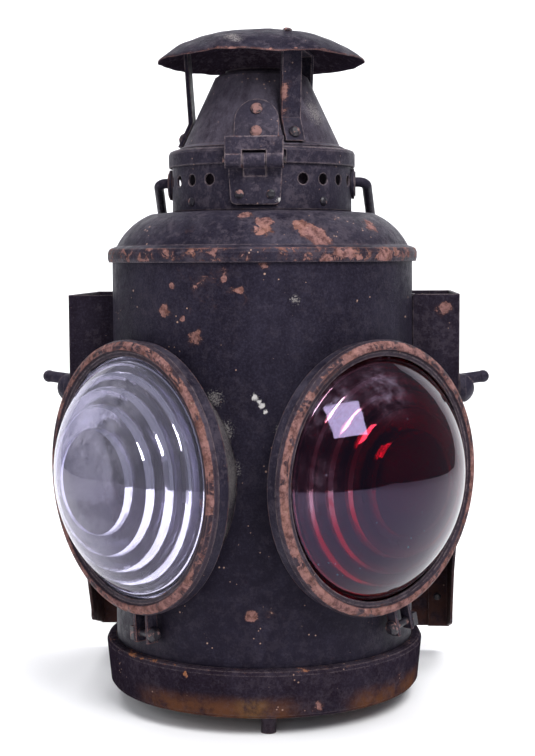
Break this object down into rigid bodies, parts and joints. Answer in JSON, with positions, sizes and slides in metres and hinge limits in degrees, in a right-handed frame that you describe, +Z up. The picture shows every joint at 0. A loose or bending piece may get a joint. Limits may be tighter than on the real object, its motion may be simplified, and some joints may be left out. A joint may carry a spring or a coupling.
{
  "type": "locomotive classification lamp",
  "caption": "Sheet-steel railway signal lamp with a clear and a red domed lens, hinged vented lid with rain cap, wire bail, oil burner and rear mounting cradle.",
  "frame": {"origin": "on the floor at the lamp body's vertical axis, midway between the three foot pegs", "axes": "+Z up along the body's axis, -Y towards the lid hinge and between the two lenses, +Y towards the back plate, +X towards the red lens"},
  "size_m": [0.268, 0.2241, 0.3919],
  "materials": {
    "black_sheet": "worn satin black paint with rust along the edges",
    "black_fittings": "worn black paint over rust",
    "black_cradle": "dull black paint with rust blooms",
    "rusty_rings": "worn brown-black paint",
    "fasteners": "dull, rusted",
    "forged_levers": "dull",
    "gasket_cord": "matt",
    "clear_glass": "clear pressed glass",
    "red_glass": "deep red pressed glass",
    "brass": "tarnished",
    "cotton_wick": "woven cotton"
  },
  "bodies": {
    "root": {"foot_pegs": "black_sheet", "base_skirt": "black_sheet", "floor_pan": "black_sheet", "body_shell": "black_sheet", "shoulder_dome": "black_sheet", "neck_band": "black_sheet", "draught_baffle": "black_sheet", "baffle_rivets": "fasteners", "hinge_lower_leaf": "black_fittings", "hinge_pin": "fasteners", "hinge_lower_rivets": "fasteners", "lid_catch": "black_fittings", "catch_rivets": "fasteners", "bail_ear_left": "black_sheet", "bail_ear_right": "black_sheet", "lens_barrel_left": "black_sheet", "lens_barrel_right": "black_sheet", "lens_gasket_left": "gasket_cord", "lens_gasket_right": "gasket_cord", "clear_lens": "clear_glass", "red_lens": "red_glass", "lens_ring_left": "rusty_rings", "lens_ring_right": "rusty_rings", "clamp_band_left": "rusty_rings", "clamp_band_right": "rusty_rings", "clamp_screw_left": "fasteners", "clamp_screw_right": "fasteners", "clamp_nut_left": "fasteners", "clamp_nut_right": "fasteners", "cradle_back": "black_cradle", "cradle_side_left": "black_cradle", "cradle_side_right": "black_cradle", "cradle_rivets": "fasteners", "wing_rivets": "fasteners", "fount_seat": "black_sheet", "oil_fount": "brass", "fount_collar": "brass", "burner_body": "brass", "wick_tube": "brass", "burner_cap": "brass"},
    "lid": {"lid_ring": "black_sheet", "chimney_cone": "black_sheet", "inner_flue": "black_sheet", "umbrella_cap": "black_fittings", "cap_strap_front": "black_fittings", "cap_strap_rear": "black_fittings", "cap_strap_left": "black_fittings", "strap_rivets": "fasteners", "hinge_upper_leaf": "black_fittings", "hinge_upper_rivets": "fasteners"},
    "bail": {"bail_handle": "black_fittings"},
    "lever_left": {"lock_lever_left": "forged_levers", "lock_plate_left": "forged_levers"},
    "lever_right": {"lock_lever_right": "forged_levers", "lock_plate_right": "forged_levers"},
    "wick_knob": {"wick_wheel": "brass"},
    "wick_strip": {"wick": "cotton_wick"}
  },
  "joints": [
    {"name": "lid_hinge", "type": "hinge", "parent": "root", "child": "lid", "pos_m": [0, -0.0591, 0.314], "axis": [1, 0, 0], "range_deg": [0, 115]},
    {"name": "bail_swing", "type": "hinge", "parent": "root", "child": "bail", "pos_m": [0, 0, 0.3046], "axis": [1, 0, 0], "range_deg": [0, 233]},
    {"name": "lever_left_turn", "type": "hinge", "parent": "root", "child": "lever_left", "pos_m": [-0.116, 0.008, 0.183], "axis": [1, 0, 0], "range_deg": [0, 90]},
    {"name": "lever_right_turn", "type": "hinge", "parent": "root", "child": "lever_right", "pos_m": [0.116, 0.008, 0.183], "axis": [1, 0, 0], "range_deg": [0, 90]},
    {"name": "wick_turn", "type": "hinge", "parent": "root", "child": "wick_knob", "pos_m": [0, -0.00475, 0.10325], "axis": [1, 0, 0], "range_deg": [0, 179]},
    {"name": "wick_rise", "type": "slide", "parent": "root", "child": "wick_strip", "axis": [0, 0, 1], "range_m": [0, 0.01]}
  ],
  "couplings": [
    {"joint": "wick_rise", "follows": "wick_turn", "m_per_rad": 0.0032}
  ]
}
